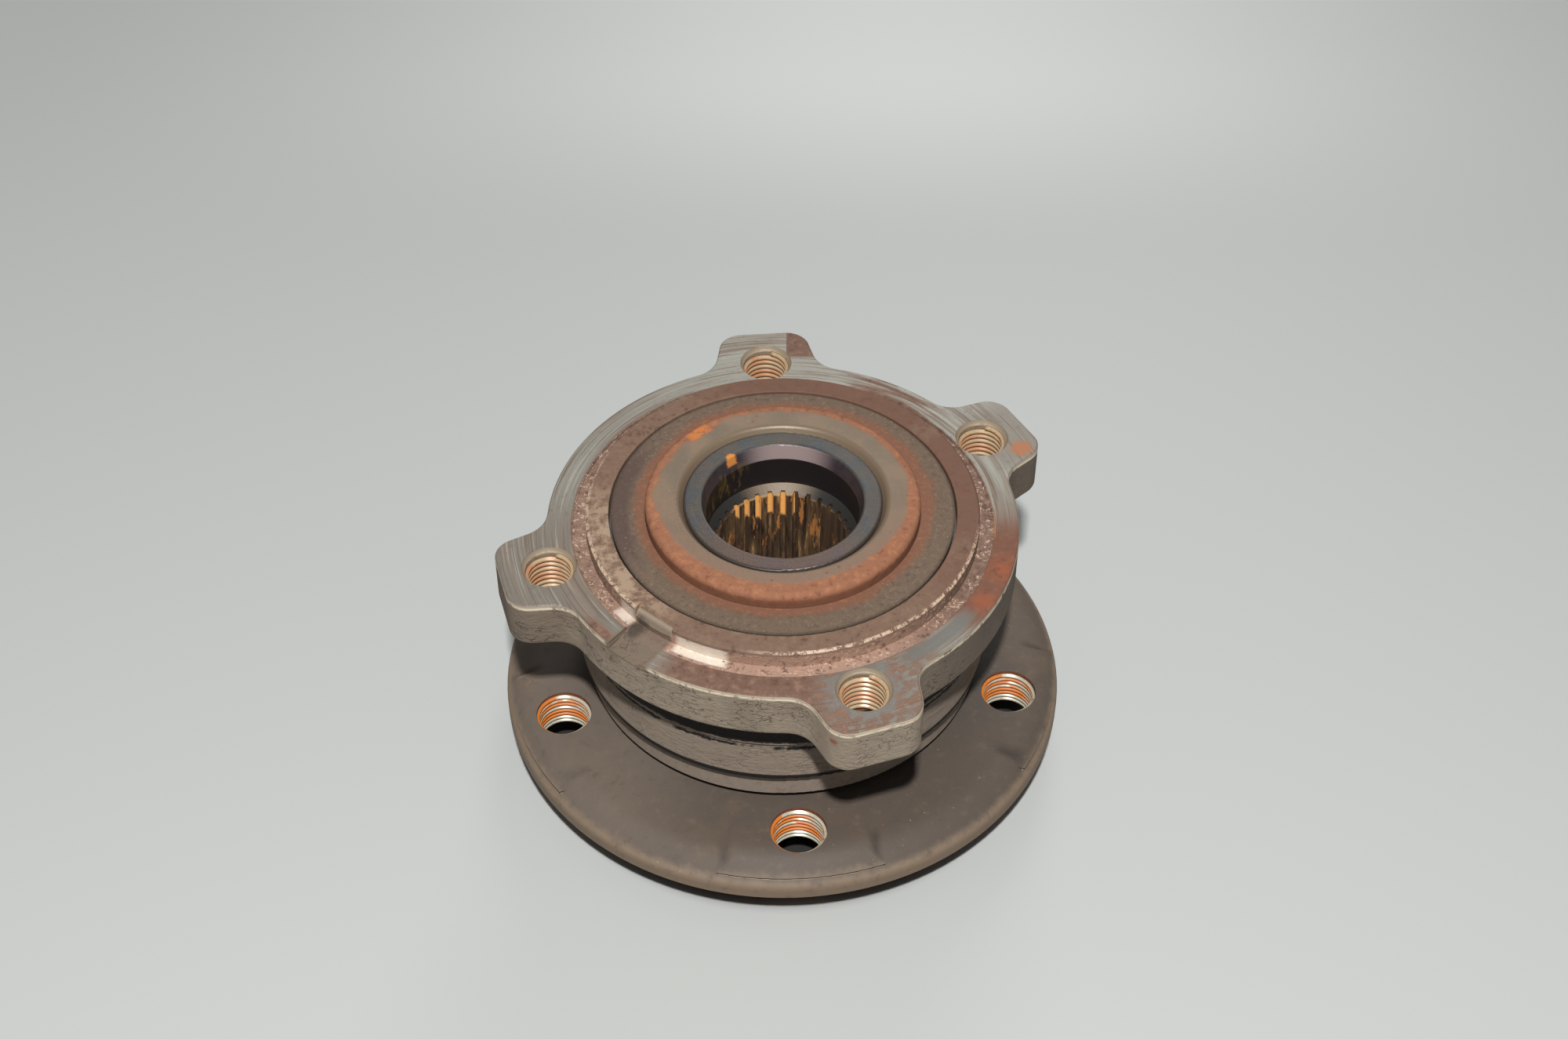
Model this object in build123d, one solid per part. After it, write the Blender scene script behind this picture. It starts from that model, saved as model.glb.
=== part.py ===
from build123d import *
from math import cos, hypot, pi, sin
import os

# A driven wheel hub bearing: a splined hub and wheel flange turn on two rows of balls inside a fixed
# outer ring, which bolts to the steering knuckle by four lugs.
# Millimetres. +Z is the axis of rotation and points inboard, to the knuckle. The origin is the centre
# of the face that the brake disc and the wheel are bolted against. Inboard is up, outboard is down.

# ---- wheel flange ----
wheel_bolt_circle_radius = 60.0
wheel_bolt_radius = 7.0         # M14 x 1.25, full thread diameter
wheel_bolt_count = 5
wheel_bolt_first_angle = 202.0
disc_screw_radius = 4.0         # M8 screw that keeps the brake disc in place
disc_screw_angle = 94.0
flange_margin = 12.3            # from the bolt circle to the rim
flange_radius = wheel_bolt_circle_radius + flange_margin
flange_face_z = 11.2            # inboard side of the flange, near the hub's root
rim_slope_width = 5.1
shoulder_radius = flange_radius - rim_slope_width
face_fall = 2.2                 # the face falls gently outwards by this much
face_fall_width = 11.2
shoulder_z = flange_face_z - face_fall
face_break_radius = shoulder_radius - face_fall_width
face_break_fillet = 10.0
shoulder_fillet = 6.0
rim_wall_height = 4.1
rim_edge_fillet = 3.0
rim_edge_chamfer = 0.5

# ---- forged pads round the wheel bolts, level with the flange's face ----
pad_top_half_width = 16.2
pad_foot_half_width = 20.6
pad_height = 4.4
pad_foot_z = flange_face_z - pad_height
pad_inner_reach = 8.0           # from the bolt's axis towards the hub
pad_inner_radius = wheel_bolt_circle_radius - pad_inner_reach
pad_top_inset = 3.5
pad_foot_inset = 1.0
pad_outer_radius = flange_radius - pad_top_inset
pad_foot_radius = flange_radius - pad_foot_inset
pad_edge_fillet = 2.4

# ---- spigots below the wheel flange ----
wheel_spigot_radius = 37.0
wheel_spigot_fillet = 1.5
disc_register_step = 2.4
disc_register_radius = wheel_spigot_radius + disc_register_step
disc_register_height = 4.5
disc_register_fillet = 0.6
spigot_height = 10.0
nut_recess_radius = 24.0
nut_recess_depth = 8.0

# ---- splined bore ----
spline_teeth = 32
spline_tip_radius = 16.2
spline_depth = 1.2
spline_root_radius = spline_tip_radius + spline_depth
spline_mouth_share = 0.62       # part of the pitch that a tooth space takes at the tips
spline_floor_share = 0.30       # and at the roots
spline_end_rise = 2.8           # the splines end this far above the flange's face
spline_bottom_z = flange_face_z + spline_end_rise
bore_relief_step = 0.5
bore_relief_radius = spline_root_radius + bore_relief_step
bore_relief_taper = 1.0
counterbore_step = 1.6
counterbore_radius = spline_root_radius + counterbore_step
mouth_step = 1.0
mouth_radius = counterbore_radius + mouth_step
mouth_taper_height = 4.2
mouth_fillet = 0.6

# ---- balls and raceways ----
ball_radius = 6.35
balls_per_row = 15
pitch_radius = 37.0
outboard_row_rise = 21.0        # from the flange's face to the outboard ball centres
row_spacing = 19.6
outboard_row_z = flange_face_z + outboard_row_rise
inboard_row_z = outboard_row_z + row_spacing
raceway_clearance = 0.2
bearing_land_drop = 5.0         # how far each land lies inside or outside the pitch circle
bearing_land_radius = pitch_radius - bearing_land_drop
bearing_edge_fillet = 0.4
outer_ring_land_rise = 3.2
outer_ring_shoulder_rise = 4.8
outer_ring_land_radius = pitch_radius + outer_ring_land_rise
outer_ring_shoulder_radius = pitch_radius + outer_ring_shoulder_rise

# ---- cages ----
cage_thickness = 3.6
cage_inner_radius = pitch_radius - cage_thickness / 2
cage_outer_radius = pitch_radius + cage_thickness / 2
cage_back_wall = 1.65
cage_open_side = ball_radius / 2                # from the ball centres to the crown's open edge
cage_back_side = ball_radius + cage_back_wall   # and to the back of its ring
cage_edge_fillet = 0.5
pocket_clearance = 0.12

# ---- spindle, inner ring and the head rolled over it ----
spindle_wall = 3.0
spindle_radius = mouth_radius + spindle_wall
spindle_shoulder_rise = 10.0    # above the outboard ball centres
spindle_shoulder_z = outboard_row_z + spindle_shoulder_rise
inner_ring_drop = 3.0
inner_ring_radius = pitch_radius - inner_ring_drop
inner_ring_rise = 14.8          # above the inboard ball centres
inner_ring_top_z = inboard_row_z + inner_ring_rise
inner_ring_top_fillet = 1.6
inner_ring_mouth_width = 2.9
inner_ring_mouth_radius = spindle_radius + inner_ring_mouth_width
inner_ring_mouth_fillet = 1.4
head_seat_depth = 4.2           # where the head starts to flare over the inner ring
head_seat_z = inner_ring_top_z - head_seat_depth
head_recess = 0.9
head_face_z = inner_ring_top_z - head_recess
head_overhang = 1.6
head_radius = spindle_radius + head_overhang
head_fillet = 0.5
lead_in_depth = 12.5
lead_in_height = 2.0
lead_in_top_z = head_face_z - lead_in_depth
lead_in_bottom_z = lead_in_top_z - lead_in_height

# ---- outer ring ----
seal_bore_rise = 6.0
seal_bore_radius = pitch_radius + seal_bore_rise
seal_seat_depth = 5.6
seal_bore_edge_fillet = 0.3
ring_bottom_drop = 11.2         # below the outboard ball centres
ring_bottom_z = outboard_row_z - ring_bottom_drop
body_wall = 9.2
body_radius = seal_bore_radius + body_wall
body_edge_fillet = 0.9
collar_step = 0.8
collar_rise = 13.6
collar_radius = body_radius + collar_step
collar_bottom_z = ring_bottom_z + collar_rise
collar_taper = 0.6
knuckle_face_rise = 7.1         # above the inboard ball centres
knuckle_face_z = inboard_row_z + knuckle_face_rise
knuckle_flange_width = 5.6
knuckle_flange_radius = collar_radius + knuckle_flange_width
knuckle_flange_thickness = 13.7
knuckle_underside_z = knuckle_face_z - knuckle_flange_thickness
flange_root_fillet = 2.4
flange_top_chamfer = 0.4
flange_bottom_fillet = 1.4
pilot_wall = 5.7
pilot_radius = seal_bore_radius + pilot_wall
pilot_height = 4.0
pilot_chamfer = 0.5
relief_width = 3.3              # shallow groove at the foot of the pilot
relief_radius = pilot_radius + relief_width
relief_depth = 0.5

# ---- lugs and their threaded holes ----
lug_angles = (94.5, 30.5, 196.5, 288.8)
lug_hole_offset = 6.2           # from the collar to the hole's axis
lug_bolt_circle_radius = collar_radius + lug_hole_offset
lug_margin = 12.1
lug_reach = lug_bolt_circle_radius + lug_margin
lug_tip_half_width = 10.9
lug_root_overlap = 1.0
lug_root_radius = collar_radius - lug_root_overlap
lug_root_half_width = 14.8
lug_corner_fillet = 6.0
lug_root_fillet = 8.0
lug_hole_radius = 6.0           # M12 x 1.5, full thread diameter
lug_countersink_width = 0.8
lug_countersink_radius = lug_hole_radius + lug_countersink_width
lug_countersink_depth = 1.3

# ---- speed sensor notch, cut by a side mill ----
notch_angle = 231.0
notch_width = 11.4
notch_cutter_radius = 12.0
notch_cutter_offset = 8.05
notch_cutter_reach = pilot_radius + notch_cutter_offset
notch_depth = 2.1
notch_floor_z = knuckle_face_z - notch_depth

# ---- inboard seal with its encoder ----
pilot_top_z = knuckle_face_z + pilot_height
inboard_seat_z = pilot_top_z - seal_seat_depth
encoder_recess = 0.1
encoder_face_z = pilot_top_z - encoder_recess
encoder_thickness = 1.2
encoder_running_gap = 0.45
encoder_radius = seal_bore_radius - encoder_running_gap
encoder_edge_fillet = 0.25
encoder_bore_clearance = 0.05
sheet_thickness = 0.7
sheet_bend_fillet = 0.3
flinger_top_z = encoder_face_z - encoder_thickness
flinger_inset = 0.35
flinger_radius = encoder_radius - flinger_inset
flinger_collar_height = 3.6
inboard_wall_depth = 4.3        # underside of the pressed case's wall, below the pilot's top
inboard_wall_z = pilot_top_z - inboard_wall_depth
inboard_case_width = 5.6                # from the seal bore to the case's inner edge
inboard_case_inner_radius = seal_bore_radius - inboard_case_width
lip_thickness = 0.5
lip_running_gap = 0.12
axial_lip_spread = inboard_case_width / 2

# ---- outboard seal and slinger ----
outboard_seat_z = ring_bottom_z + seal_seat_depth
hub_root_gap = 2.4              # below the outer ring
hub_root_z = ring_bottom_z - hub_root_gap
hub_root_fillet = 0.6
seal_land_drop = 2.0
seal_land_radius = pitch_radius - seal_land_drop
seal_land_fillet = 3.4
outboard_wall_depth = 2.9       # underside of the pressed case's wall, inside the outer ring
outboard_wall_z = ring_bottom_z + outboard_wall_depth
outboard_case_width = 5.2
outboard_case_inner_radius = seal_bore_radius - outboard_case_width
slinger_inset = 1.8
slinger_radius = body_radius - slinger_inset
slinger_thickness = 1.0
slinger_rise = 2.3              # above the wheel flange
slinger_bottom_z = flange_face_z + slinger_rise
slinger_running_gap = 1.4       # below the outer ring
slinger_top_z = ring_bottom_z - slinger_running_gap
slinger_bend_fillet = 0.4
hub_root_width = 9.0
slinger_step_width = 3.0
slinger_seat_radius = seal_land_radius + hub_root_width
slinger_step_radius = slinger_seat_radius + slinger_step_width
slinger_collar_height = 3.2

cut_overrun = 1.0


def turned(*corners):
    """A ring turned about Z from its section: corners of (radius, z) or (radius, z, fillet)."""
    points = [(corner[0], corner[1]) for corner in corners]
    fillets = [corner[2] if len(corner) > 2 else 0 for corner in corners]
    section = make_face(FilletPolyline(*points, radius=fillets, close=True))
    return revolve(Plane.XZ * section, Axis.Z)


def at_angle(angle, radius, z=0.0):
    """The place at an angle and radius about Z, with its X axis pointing outwards."""
    return Rot(0, 0, angle) * Pos(radius, 0, z)


def through_hole(radius, bottom_z, top_z):
    """The cutter for a plain hole along Z, a little longer than the wall."""
    height = top_z - bottom_z + 2 * cut_overrun
    return Pos(0, 0, bottom_z - cut_overrun) * extrude(Circle(radius), height)


def raceway(row_z):
    """The round groove that a row of balls runs in."""
    return Pos(0, 0, row_z) * Torus(pitch_radius, ball_radius + raceway_clearance)


# ---------------------------------------------------------------- wheel hub

def head_flank_top_z():
    """Height at which the rolled head's edge leaves the inner ring's conical mouth."""
    flare = (inner_ring_top_z - head_seat_z) / (inner_ring_mouth_radius - spindle_radius)
    return head_seat_z + (head_radius - spindle_radius) * flare


def hub_blank():
    """The turned forging: spigots, wheel flange, seal land, spindle, rolled head and stepped bore."""
    recess_floor_z = nut_recess_depth - spigot_height
    return turned(
        (nut_recess_radius, -spigot_height),
        (wheel_spigot_radius, -spigot_height, wheel_spigot_fillet),
        (wheel_spigot_radius, -disc_register_height),
        (disc_register_radius, -disc_register_height, disc_register_fillet),
        (disc_register_radius, 0),
        (flange_radius - rim_edge_chamfer, 0),
        (flange_radius, rim_edge_chamfer),
        (flange_radius, rim_wall_height, rim_edge_fillet),
        (shoulder_radius, shoulder_z, shoulder_fillet),
        (face_break_radius, flange_face_z, face_break_fillet),
        (slinger_step_radius, flange_face_z),
        (slinger_step_radius, slinger_bottom_z),
        (slinger_seat_radius, slinger_bottom_z),
        (slinger_seat_radius, hub_root_z, hub_root_fillet),
        (seal_land_radius, hub_root_z, seal_land_fillet),
        (seal_land_radius, outboard_row_z),
        (bearing_land_radius, outboard_row_z),
        (bearing_land_radius, spindle_shoulder_z, bearing_edge_fillet),
        (spindle_radius, spindle_shoulder_z),
        (spindle_radius, head_seat_z),
        (head_radius, head_flank_top_z()),
        (head_radius, head_face_z, head_fillet),
        (mouth_radius, head_face_z, mouth_fillet),
        (counterbore_radius, head_face_z - mouth_taper_height),
        (counterbore_radius, lead_in_top_z),
        (spline_tip_radius, lead_in_bottom_z),
        (spline_tip_radius, spline_bottom_z),
        (bore_relief_radius, spline_bottom_z - bore_relief_taper),
        (bore_relief_radius, recess_floor_z),
        (nut_recess_radius, recess_floor_z),
    )


def bolt_pad():
    """One raised pad of the flange's inboard face, with sloping sides, for a bolt at angle 0."""
    across = make_face(Polyline(
        (-pad_foot_half_width, pad_foot_z), (pad_foot_half_width, pad_foot_z),
        (pad_top_half_width, flange_face_z), (-pad_top_half_width, flange_face_z), close=True))
    block = Pos(pad_inner_radius, 0, 0) * extrude(Plane.YZ * across, flange_radius - pad_inner_radius)
    pad = block & turned((0, pad_foot_z), (pad_foot_radius, pad_foot_z),
                         (pad_outer_radius, flange_face_z), (0, flange_face_z))
    top = pad.faces().sort_by(Axis.Z)[-1]
    return fillet(top.edges().sort_by(Axis.X)[1:], pad_edge_fillet)


def spline_cutter():
    """The tooth spaces of the splined bore, which run out through its conical lead-in."""
    pitch = 2 * pi / spline_teeth
    inside_radius = spline_tip_radius - (spline_root_radius - spline_tip_radius) / 4
    mouth = pitch * spline_mouth_share / 2
    floor = pitch * spline_floor_share / 2
    tooth_space = ((inside_radius, -mouth), (spline_root_radius, -floor),
                   (spline_root_radius, floor), (inside_radius, mouth))
    outline = [(radius * cos(tooth * pitch + angle), radius * sin(tooth * pitch + angle))
               for tooth in range(spline_teeth) for radius, angle in tooth_space]
    height = lead_in_top_z - spline_bottom_z
    return Pos(0, 0, spline_bottom_z) * extrude(make_face(Polyline(*outline, close=True)), height)


def wheel_hub():
    """The hub: wheel flange with its bolt pads and threaded holes, spindle and splined bore."""
    hub = hub_blank()
    bolt_angles = [wheel_bolt_first_angle + 360 * i / wheel_bolt_count for i in range(wheel_bolt_count)]
    for angle in bolt_angles:
        hub += Rot(0, 0, angle) * bolt_pad()
    bolt_hole = through_hole(wheel_bolt_radius, 0, flange_face_z)
    for angle in bolt_angles:
        hub -= at_angle(angle, wheel_bolt_circle_radius) * bolt_hole
    screw_hole = through_hole(disc_screw_radius, 0, flange_face_z)
    hub -= at_angle(disc_screw_angle, wheel_bolt_circle_radius) * screw_hole
    hub -= raceway(outboard_row_z)
    return hub - spline_cutter()


# ---------------------------------------------------------------- outer ring

def knuckle_flange():
    """The flat plate with four lugs, rounded into the round flange, that bolts to the knuckle."""
    outline = Rot(0, 0, lug_angles[0]) * Circle(knuckle_flange_radius)
    for angle in lug_angles:
        outline += Rot(0, 0, angle) * make_face(Polyline(
            (lug_root_radius, -lug_root_half_width), (lug_reach, -lug_tip_half_width),
            (lug_reach, lug_tip_half_width), (lug_root_radius, lug_root_half_width), close=True))

    def corners_at(radius):
        return [v for v in outline.vertices() if abs(hypot(v.X, v.Y) - radius) < 0.01]

    outline = fillet(corners_at(hypot(lug_reach, lug_tip_half_width)), lug_corner_fillet)
    outline = fillet(corners_at(knuckle_flange_radius), lug_root_fillet)
    outline -= Circle(collar_radius + flange_root_fillet / 2)
    plate = Pos(0, 0, knuckle_underside_z) * extrude(outline, knuckle_flange_thickness)
    plate = fillet(plate.faces().sort_by(Axis.Z)[0].outer_wire().edges(), flange_bottom_fillet)
    return chamfer(plate.faces().sort_by(Axis.Z)[-1].outer_wire().edges(), flange_top_chamfer)


def outer_ring_blank():
    """The turned body: seal bores, ball lands, pilot and the inner part of the flange."""
    overlap_radius = collar_radius + flange_root_fillet * 1.5
    return turned(
        (seal_bore_radius, ring_bottom_z, seal_bore_edge_fillet),
        (body_radius, ring_bottom_z, body_edge_fillet),
        (body_radius, collar_bottom_z),
        (collar_radius, collar_bottom_z + collar_taper),
        (collar_radius, knuckle_underside_z, flange_root_fillet),
        (overlap_radius, knuckle_underside_z),
        (overlap_radius, knuckle_face_z),
        (relief_radius, knuckle_face_z),
        (relief_radius, knuckle_face_z - relief_depth),
        (pilot_radius, knuckle_face_z - relief_depth),
        (pilot_radius, pilot_top_z - pilot_chamfer),
        (pilot_radius - pilot_chamfer, pilot_top_z),
        (seal_bore_radius, pilot_top_z, seal_bore_edge_fillet),
        (seal_bore_radius, inboard_seat_z),
        (outer_ring_shoulder_radius, inboard_seat_z),
        (outer_ring_shoulder_radius, inboard_row_z),
        (outer_ring_land_radius, inboard_row_z),
        (outer_ring_land_radius, outboard_row_z),
        (outer_ring_shoulder_radius, outboard_row_z),
        (outer_ring_shoulder_radius, outboard_seat_z),
        (seal_bore_radius, outboard_seat_z),
    )


def lug_hole():
    """The cutter for a lug's threaded through hole with its countersunk mouth."""
    mouth_z = knuckle_face_z - lug_countersink_depth
    above_z = knuckle_face_z + cut_overrun
    mouth = turned((0, mouth_z), (lug_hole_radius, mouth_z), (lug_countersink_radius, knuckle_face_z),
                   (lug_countersink_radius, above_z), (0, above_z))
    return mouth + through_hole(lug_hole_radius, knuckle_underside_z, knuckle_face_z)


def sensor_notch():
    """The side mill's sweep through the pilot and the flange's edge, for the speed sensor's nose."""
    mill_z = notch_floor_z + notch_cutter_radius
    return (at_angle(notch_angle, notch_cutter_reach, mill_z)
            * Rot(90, 0, 0) * Cylinder(notch_cutter_radius, notch_width))


def outer_ring():
    """The fixed ring: knuckle flange, pilot, seal bores and both outer raceways."""
    ring = outer_ring_blank() + knuckle_flange()
    for angle in lug_angles:
        ring -= at_angle(angle, lug_bolt_circle_radius) * lug_hole()
    for row_z in (outboard_row_z, inboard_row_z):
        ring -= raceway(row_z)
    return ring - sensor_notch()


# ---------------------------------------------------------------- inner ring, balls and cages

def inner_ring():
    """The ring pressed on the spindle, with the inboard raceway, held by the hub's rolled head."""
    ring = turned(
        (spindle_radius, spindle_shoulder_z, bearing_edge_fillet),
        (bearing_land_radius, spindle_shoulder_z, bearing_edge_fillet),
        (bearing_land_radius, inboard_row_z),
        (inner_ring_radius, inboard_row_z),
        (inner_ring_radius, inner_ring_top_z, inner_ring_top_fillet),
        (inner_ring_mouth_radius, inner_ring_top_z, inner_ring_mouth_fillet),
        (spindle_radius, head_seat_z),
    )
    return ring - raceway(inboard_row_z)


def balls(row_z):
    """One row of balls, evenly spaced about Z."""
    return [at_angle(360 * i / balls_per_row, pitch_radius, row_z) * Sphere(ball_radius)
            for i in range(balls_per_row)]


def crown_cage(row_z, back_direction):
    """A snap-in crown cage: a ring with round pockets, open on the side away from its back."""
    open_z = row_z - back_direction * cage_open_side
    back_z = row_z + back_direction * cage_back_side
    cage = turned(
        (cage_inner_radius, open_z),
        (cage_outer_radius, open_z),
        (cage_outer_radius, back_z, cage_edge_fillet),
        (cage_inner_radius, back_z, cage_edge_fillet),
    )
    pocket = Sphere(ball_radius + pocket_clearance)
    for i in range(balls_per_row):
        cage -= at_angle(360 * i / balls_per_row, pitch_radius, row_z) * pocket
    return cage


# ---------------------------------------------------------------- inboard seal

def encoder_ring():
    """The magnetised ring that the speed sensor reads, bonded to the flinger."""
    bore_radius = inner_ring_radius + encoder_bore_clearance
    return turned(
        (bore_radius, flinger_top_z),
        (encoder_radius, flinger_top_z),
        (encoder_radius, encoder_face_z, encoder_edge_fillet),
        (bore_radius, encoder_face_z, encoder_edge_fillet),
    )


def inboard_flinger():
    """The angled steel ring pressed on the inner ring, which carries the encoder."""
    collar_radius_outside = inner_ring_radius + sheet_thickness
    return turned(
        (inner_ring_radius, flinger_top_z),
        (inner_ring_radius, flinger_top_z - flinger_collar_height),
        (collar_radius_outside, flinger_top_z - flinger_collar_height),
        (collar_radius_outside, flinger_top_z - sheet_thickness, sheet_bend_fillet),
        (flinger_radius, flinger_top_z - sheet_thickness),
        (flinger_radius, flinger_top_z),
    )


def inboard_seal_case():
    """The pressed steel case that seats against the shoulder of the inboard seal bore."""
    wall_top_z = inboard_wall_z + sheet_thickness
    return turned(
        (seal_bore_radius, inboard_seat_z),
        (seal_bore_radius, wall_top_z, sheet_bend_fillet),
        (inboard_case_inner_radius, wall_top_z),
        (inboard_case_inner_radius, inboard_wall_z),
        (seal_bore_radius - sheet_thickness, inboard_wall_z),
        (seal_bore_radius - sheet_thickness, inboard_seat_z),
    )


def inboard_seal_lip():
    """The rubber moulded to the case's edge: one lip to the flinger's collar, one to its disc."""
    wall_top_z = inboard_wall_z + sheet_thickness
    radial_tip = inner_ring_radius + sheet_thickness + lip_running_gap
    axial_tip_z = flinger_top_z - sheet_thickness - lip_running_gap
    axial_tip_radius = inboard_case_inner_radius + axial_lip_spread
    return turned(
        (inboard_case_inner_radius, inboard_wall_z),
        (inboard_case_inner_radius, wall_top_z),
        (inboard_case_inner_radius + 2 * lip_thickness, wall_top_z),
        (axial_tip_radius + lip_thickness, axial_tip_z),
        (axial_tip_radius, axial_tip_z),
        (inboard_case_inner_radius - lip_thickness, wall_top_z + lip_thickness),
        (radial_tip, wall_top_z),
        (radial_tip, wall_top_z - lip_thickness),
    )


# ---------------------------------------------------------------- outboard seal

def outboard_seal_case():
    """The pressed steel case that seats against the shoulder of the outboard seal bore."""
    wall_top_z = outboard_wall_z + sheet_thickness
    return turned(
        (seal_bore_radius, outboard_seat_z),
        (seal_bore_radius, outboard_wall_z, sheet_bend_fillet),
        (outboard_case_inner_radius, outboard_wall_z),
        (outboard_case_inner_radius, wall_top_z),
        (seal_bore_radius - sheet_thickness, wall_top_z),
        (seal_bore_radius - sheet_thickness, outboard_seat_z),
    )


def outboard_seal_lip():
    """The rubber moulded to the case's edge: one lip to the hub's seal land, one to its root face."""
    wall_top_z = outboard_wall_z + sheet_thickness
    radial_tip = seal_land_radius + lip_running_gap
    axial_tip_z = hub_root_z + lip_running_gap
    axial_tip_radius = outboard_case_inner_radius + axial_lip_spread
    return turned(
        (outboard_case_inner_radius, wall_top_z),
        (outboard_case_inner_radius, outboard_wall_z),
        (outboard_case_inner_radius + 2 * lip_thickness, outboard_wall_z),
        (axial_tip_radius + lip_thickness, axial_tip_z),
        (axial_tip_radius, axial_tip_z),
        (outboard_case_inner_radius - lip_thickness, outboard_wall_z - lip_thickness),
        (radial_tip, outboard_wall_z),
        (radial_tip, outboard_wall_z + lip_thickness),
    )


def outboard_slinger():
    """The pressed steel cup on the hub's root that throws water off the outboard seal gap."""
    inside_radius = slinger_radius - slinger_thickness
    floor_z = slinger_bottom_z + slinger_thickness
    collar_outside = slinger_seat_radius + slinger_thickness
    return turned(
        (slinger_seat_radius, slinger_bottom_z),
        (slinger_radius, slinger_bottom_z, slinger_bend_fillet),
        (slinger_radius, slinger_top_z),
        (inside_radius, slinger_top_z),
        (inside_radius, floor_z),
        (collar_outside, floor_z),
        (collar_outside, slinger_bottom_z + slinger_collar_height),
        (slinger_seat_radius, slinger_bottom_z + slinger_collar_height),
    )


def all_parts():
    """Every sub-part by its name."""
    parts = {
        "wheel_hub": wheel_hub(),
        "outer_ring": outer_ring(),
        "inner_ring": inner_ring(),
        "outboard_cage": crown_cage(outboard_row_z, 1),
        "inboard_cage": crown_cage(inboard_row_z, -1),
        "encoder_ring": encoder_ring(),
        "inboard_flinger": inboard_flinger(),
        "inboard_seal_case": inboard_seal_case(),
        "inboard_seal_lip": inboard_seal_lip(),
        "outboard_seal_case": outboard_seal_case(),
        "outboard_seal_lip": outboard_seal_lip(),
        "outboard_slinger": outboard_slinger(),
    }
    for row_name, row_z in (("outboard", outboard_row_z), ("inboard", inboard_row_z)):
        for number, ball in enumerate(balls(row_z), start=1):
            parts[f"{row_name}_ball_{number:02d}"] = ball
    return parts


os.makedirs("parts", exist_ok=True)
for name, part in all_parts().items():
    export_step(part, f"parts/{name}.step")
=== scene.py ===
import logging
import math
from dataclasses import dataclass, field
from enum import Enum
from functools import partial, reduce

import bmesh
import bpy
from mathutils import Matrix, Vector


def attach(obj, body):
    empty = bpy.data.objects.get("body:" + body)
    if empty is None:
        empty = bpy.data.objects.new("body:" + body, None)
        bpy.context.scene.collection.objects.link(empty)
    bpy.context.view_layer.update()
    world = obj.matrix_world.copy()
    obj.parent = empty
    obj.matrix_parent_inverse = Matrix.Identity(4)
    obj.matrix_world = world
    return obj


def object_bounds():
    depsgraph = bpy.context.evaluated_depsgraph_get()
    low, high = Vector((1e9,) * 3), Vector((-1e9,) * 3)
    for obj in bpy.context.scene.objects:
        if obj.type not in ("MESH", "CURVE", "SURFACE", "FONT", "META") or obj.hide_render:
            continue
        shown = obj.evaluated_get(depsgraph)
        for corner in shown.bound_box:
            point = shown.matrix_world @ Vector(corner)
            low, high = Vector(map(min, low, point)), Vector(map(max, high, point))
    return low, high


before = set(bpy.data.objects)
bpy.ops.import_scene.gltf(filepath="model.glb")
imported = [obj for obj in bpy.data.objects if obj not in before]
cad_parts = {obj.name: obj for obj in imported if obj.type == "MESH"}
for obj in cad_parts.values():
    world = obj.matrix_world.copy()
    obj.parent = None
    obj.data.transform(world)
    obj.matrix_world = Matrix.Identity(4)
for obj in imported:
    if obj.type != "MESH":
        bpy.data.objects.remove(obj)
cad_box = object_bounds()

log = logging.getLogger("wheel_hub_bearing")

MM = 0.001

Socket = bpy.types.NodeSocket
Material = bpy.types.Material
Tone = tuple[int, int, int]
Vector3 = tuple[float, float, float]


def hang(name: str, data: bpy.types.ID) -> bpy.types.Object:
    """Put an object with its data into the scene.

    Args:
        name: The object's name.
        data: Its mesh, light or camera data.

    Returns:
        The new object.
    """
    piece = bpy.data.objects.new(name, data)
    bpy.context.scene.collection.objects.link(piece)
    return piece


def meshed(name: str, mesh: bmesh.types.BMesh) -> bpy.types.Mesh:
    """Turn a made mesh into mesh data and let go of it.

    Args:
        name: The mesh data's name.
        mesh: The made mesh, which is freed.

    Returns:
        The mesh data.
    """
    data = bpy.data.meshes.new(name)
    mesh.to_mesh(data)
    mesh.free()
    return data


def srgb(red: int, green: int, blue: int) -> tuple[float, float, float, float]:
    """Turn a colour of 0 to 255 into the linear colour that a shader takes.

    Args:
        red: Red, 0 to 255.
        green: Green, 0 to 255.
        blue: Blue, 0 to 255.

    Returns:
        The linear colour with full alpha.
    """
    def channel(value: float) -> float:
        """Give one channel in linear light."""
        value /= 255
        return value / 12.92 if value <= 0.04045 else ((value + 0.055) / 1.055) ** 2.4

    return channel(red), channel(green), channel(blue), 1.0


@dataclass(frozen=True)
class Look:
    """How one state of a surface looks: its colour, how rough it is and how metallic."""

    colour: Tone
    roughness: float
    metallic: float = 0.0


class Tint(Enum):
    """The surface states that come back on several pieces."""

    BROWN_RUST = Look((139, 98, 78), 0.75)
    ORANGE_RUST = Look((176, 112, 74), 0.85)


@dataclass(frozen=True)
class Layer:
    """One layer of a finish: its mask and the qualities it changes (None leaves one as it is)."""

    mask: Socket
    colour: Tone
    roughness: float | None = None
    metallic: float | None = None


class Quality(Enum):
    """What a layer can change: the shader's input, the mix node's type and its sockets."""

    COLOUR = ("Base Color", "RGBA", 6, 2)
    ROUGHNESS = ("Roughness", "FLOAT", 2, 0)
    METALLIC = ("Metallic", "FLOAT", 2, 0)


def fill(node: bpy.types.Node, **values: float | tuple) -> None:
    """Set a node's inputs by name, with underscores for spaces."""
    for name, value in values.items():
        node.inputs[name.replace("_", " ")].default_value = value


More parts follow.
